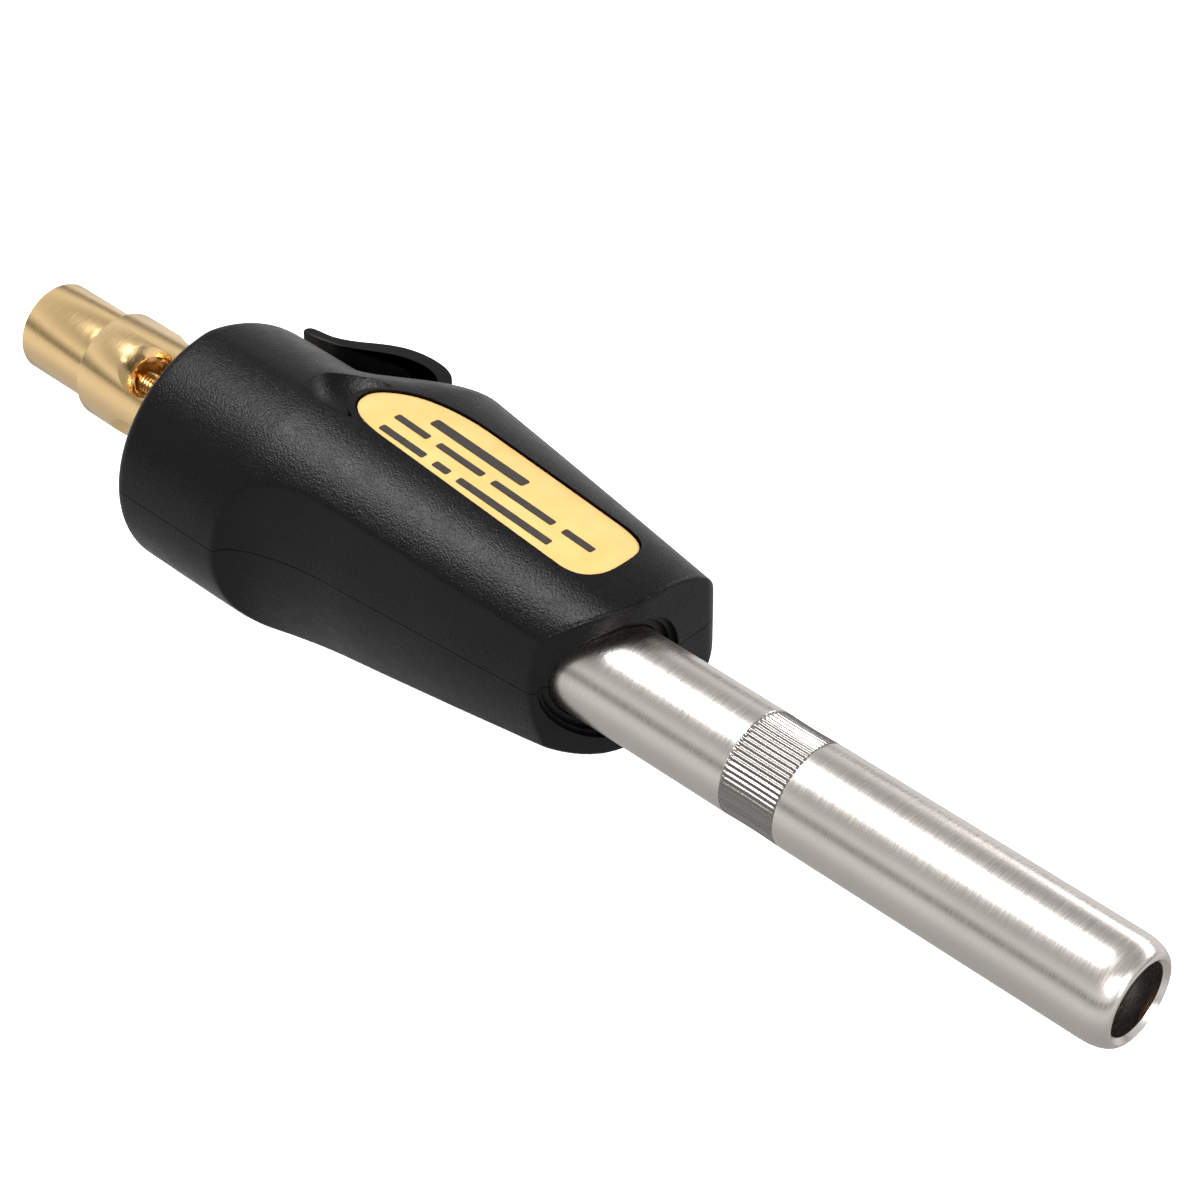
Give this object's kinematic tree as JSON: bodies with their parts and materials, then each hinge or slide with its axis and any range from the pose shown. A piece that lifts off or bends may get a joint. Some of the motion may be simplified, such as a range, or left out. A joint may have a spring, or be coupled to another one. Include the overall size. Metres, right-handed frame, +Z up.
{
  "type": "hand torch",
  "caption": "Hand-held gas torch: brass inlet and air mixer, two-shell plastic handpiece with piezo trigger and label recess, stainless flame tube with knurled crimp.",
  "frame": {"origin": "centre of the bounding box, at its lowest point: the flat underside of the barrel", "axes": "+X along the flame tube towards the mouth, +Z up through the labelled shell, +Y towards the trigger"},
  "size_m": [0.2606, 0.0616, 0.0475],
  "materials": {
    "inlet_brass": "turned, fine circumferential lines, polished",
    "inner_brass": "plain turned brass, slightly darkened",
    "stainless": "fine circumferential brushing",
    "spring_steel": "plain wire and strip",
    "screw_steel": "blackened screw",
    "shell_plastic": "black glass-filled nylon, fine spark-eroded texture, semi-matte",
    "trigger_plastic": "black moulded plastic, smoother than the shells",
    "piezo_plastic": "grey igniter case",
    "label_foil": "gold film label with plain dark bars in place of print",
    "seal_rubber": "black sealing rubber",
    "lead_silicone": "red silicone insulation",
    "electrode_ceramic": "white ceramic tube"
  },
  "bodies": {
    "handpiece": {"inlet_socket": "inlet_brass", "inlet_filter": "inner_brass", "inlet_seal": "seal_rubber", "gas_jet": "inner_brass", "jet_washer": "seal_rubber", "mixer_body": "inlet_brass", "retaining_ring": "spring_steel", "mixing_tube": "inner_brass", "burner_head": "inner_brass", "flame_tube": "stainless", "upper_shell": "shell_plastic", "lower_shell": "shell_plastic", "label_plate": "label_foil", "shell_screw_1": "screw_steel", "shell_screw_2": "screw_steel", "shell_screw_3": "screw_steel", "trigger_pin": "spring_steel", "piezo_body": "piezo_plastic", "piezo_spring": "spring_steel", "piezo_contact": "inner_brass", "ground_clip": "spring_steel", "ignition_lead": "lead_silicone", "electrode_insulator": "electrode_ceramic", "electrode_rod": "spring_steel"},
    "trigger": {"trigger": "trigger_plastic"},
    "plunger": {"piezo_plunger": "piezo_plastic"}
  },
  "joints": [
    {"name": "trigger_hinge", "type": "hinge", "parent": "handpiece", "child": "trigger", "pos_m": [-0.04855, 0.02255, 0.0245], "axis": [0, 0, 1], "range_deg": [0, 18], "stiffness_Nm_per_rad": 0.25, "springref_deg": -14.32},
    {"name": "plunger_slide", "type": "slide", "parent": "handpiece", "child": "plunger", "axis": [1, 0, 0], "range_m": [0, 0.0036], "deforming": ["piezo_spring"]}
  ],
  "couplings": [
    {"joint": "plunger_slide", "follows": "trigger_hinge", "m_per_rad": 0.0108}
  ]
}
